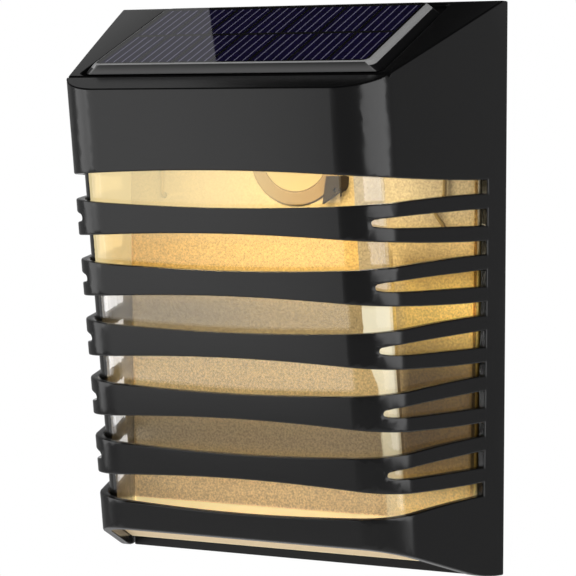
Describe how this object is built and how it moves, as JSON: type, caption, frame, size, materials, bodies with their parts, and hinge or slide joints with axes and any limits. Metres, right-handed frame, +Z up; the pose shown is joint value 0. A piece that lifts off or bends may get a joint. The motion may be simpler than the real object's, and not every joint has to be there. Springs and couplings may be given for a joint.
{
  "type": "solar wall light",
  "caption": "Louvred solar wall light with a sloped panel on top, a clear inner lens, a gold reflector and keyholes in its back.",
  "frame": {"origin": "middle of the back, on the wall plane", "axes": "+Z up the wall, +Y into the wall, so the light stands out towards -Y; +X to the right seen from in front"},
  "size_m": [0.112, 0.0616, 0.15],
  "materials": {
    "housing_plastic": "fine satin charcoal ABS",
    "cover_plastic": "satin black ABS",
    "clear_plastic": "clear, polished",
    "gold_film": "grainy metallised film, warm gold",
    "panel_board": "dark laminate",
    "solar_silicon": "dark blue silicon with pale printed lines",
    "black_rubber": "soft matte",
    "cap_plastic": "glossy cream",
    "brown_plastic": "brown moulded",
    "button_plastic": "satin",
    "green_board": "solder resist",
    "led_phosphor": "yellow phosphor",
    "black_component": "moulded epoxy",
    "capacitor_can": "bare can",
    "cell_sleeve": "shrink sleeve over a metal can",
    "contact_steel": "plated",
    "screw_steel": "plated",
    "lead_insulation": "extruded sleeve"
  },
  "bodies": {
    "housing": {"front_housing": "housing_plastic", "rear_cover": "cover_plastic", "tray": "cover_plastic", "battery_holder": "cover_plastic", "switch_body": "cover_plastic", "lens": "clear_plastic", "solar_cover": "clear_plastic", "reflector": "gold_film", "solar_board": "panel_board", "solar_cells": "solar_silicon", "panel_pad": "black_rubber", "lens_seal": "black_rubber", "button_seal": "black_rubber", "switch_cap": "cap_plastic", "switch_clip": "brown_plastic", "control_board": "green_board", "led_board": "green_board", "leds": "led_phosphor", "control_chip": "black_component", "inductor": "black_component", "capacitor": "capacitor_can", "battery_cell": "cell_sleeve", "battery_spring": "contact_steel", "battery_contact": "contact_steel", "case_screws": "screw_steel", "tray_screws": "screw_steel", "board_screws": "screw_steel", "panel_leads": "lead_insulation", "battery_leads": "lead_insulation", "led_leads": "lead_insulation", "switch_lead_right": "lead_insulation", "switch_lead_left": "lead_insulation"},
    "button": {"switch_button": "button_plastic"}
  },
  "joints": [
    {"name": "button_press", "type": "slide", "parent": "housing", "child": "button", "axis": [0, -1, 0], "range_m": [0, 0.0012], "stiffness_N_per_m": 400}
  ]
}
